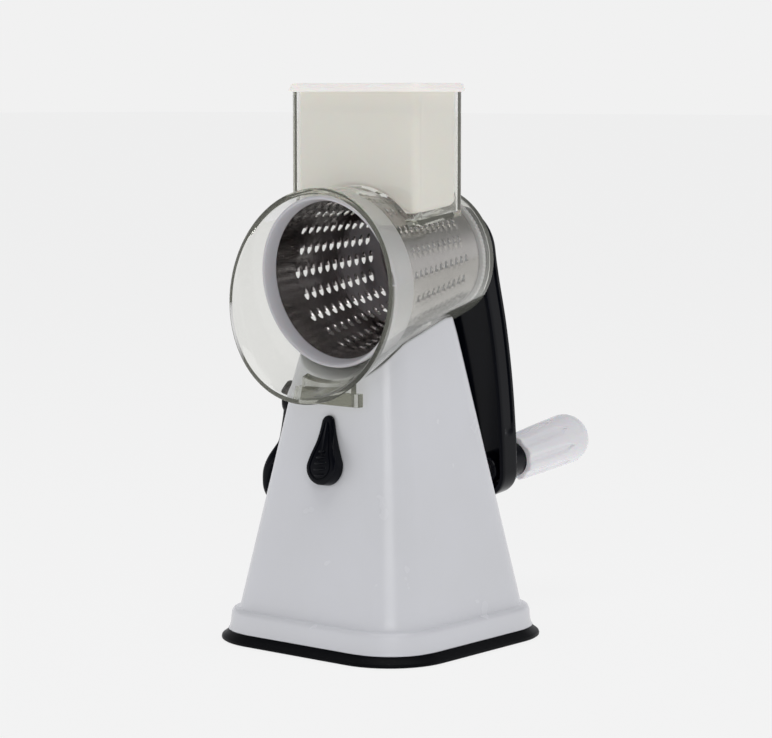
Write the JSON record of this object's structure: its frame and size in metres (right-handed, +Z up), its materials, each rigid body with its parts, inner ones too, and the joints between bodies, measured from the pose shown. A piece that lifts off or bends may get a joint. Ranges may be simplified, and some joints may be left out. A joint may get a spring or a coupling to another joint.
{
  "type": "rotary cheese grater",
  "caption": "hand-cranked rotary grater: clear hopper and barrel with a perforated steel drum, locked on a tapering white stand with a suction base",
  "frame": {"origin": "centre of the square foot ring's underside, on the table", "axes": "+Z up; the drum's mouth faces -Y; the crank is at the back, +Y; the suction lever is on the left, -X"},
  "size_m": [0.1322, 0.2342, 0.2748],
  "materials": {
    "white_abs": "glossy cool white moulding",
    "black_rubber": "smooth black rubber",
    "plain_steel": "plain zinc-plated steel",
    "white_acetal": "satin white acetal",
    "black_abs": "polished blue-black moulding",
    "clear_plastic": "clear plastic moulding",
    "milky_plastic": "translucent milky plastic",
    "drum_steel": "polished stainless sheet",
    "drum_white": "glossy lilac-white moulding",
    "grip_white": "glossy lilac-white moulding"
  },
  "bodies": {
    "stand": {"base_housing": "white_abs", "base_plate": "white_abs", "foot_ring": "black_rubber", "suction_cup": "black_rubber", "base_screws": "plain_steel", "lever_bush": "white_acetal", "drum_housing": "clear_plastic", "shaft_bush": "white_acetal"},
    "lift": {"lift_rod": "white_acetal", "cup_washer": "plain_steel", "cup_screw": "plain_steel"},
    "lever": {"suction_lever": "black_abs", "lever_axle": "plain_steel", "lift_cam": "white_acetal", "cam_screw": "plain_steel"},
    "knob": {"lock_knob": "black_abs", "latch_dog": "white_acetal", "dog_screw": "plain_steel"},
    "pusher": {"pusher_body": "milky_plastic", "pusher_cap": "milky_plastic"},
    "crank": {"drum_shell": "drum_steel", "drum_front_ring": "drum_white", "drum_hub": "drum_white", "drive_shaft": "drum_white", "crank_arm": "black_abs", "crank_screw": "plain_steel", "crank_washer": "plain_steel", "handle_collar": "black_abs", "grip_axle": "plain_steel", "axle_screw": "plain_steel"},
    "grip": {"handle_grip": "grip_white"}
  },
  "joints": [
    {"name": "crank_spin", "type": "hinge", "parent": "stand", "child": "crank", "pos_m": [0, 0, 0.18407], "axis": [0, 0.9925, 0.1219], "continuous": true},
    {"name": "grip_spin", "type": "hinge", "parent": "crank", "child": "grip", "pos_m": [0, 0.0145, 0.06596], "axis": [0, 0.9925, 0.1219], "continuous": true},
    {"name": "pusher_slide", "type": "slide", "parent": "stand", "child": "pusher", "axis": [0, 0, 1], "range_m": [0, 0.06]},
    {"name": "lever_turn", "type": "hinge", "parent": "stand", "child": "lever", "pos_m": [-0.04, -0.016, 0.117], "axis": [1, 0, 0], "range_deg": [0, 90]},
    {"name": "rod_lift", "type": "slide", "parent": "stand", "child": "lift", "axis": [0, 0, 1], "range_m": [0, 0.004], "deforming": ["suction_cup"]},
    {"name": "knob_turn", "type": "hinge", "parent": "stand", "child": "knob", "pos_m": [0, -0.03857, 0.1104], "axis": [0, 0.9824, -0.1866], "range_deg": [0, 80]}
  ],
  "couplings": [
    {"joint": "rod_lift", "follows": "lever_turn", "m_per_rad": 0.002546}
  ]
}
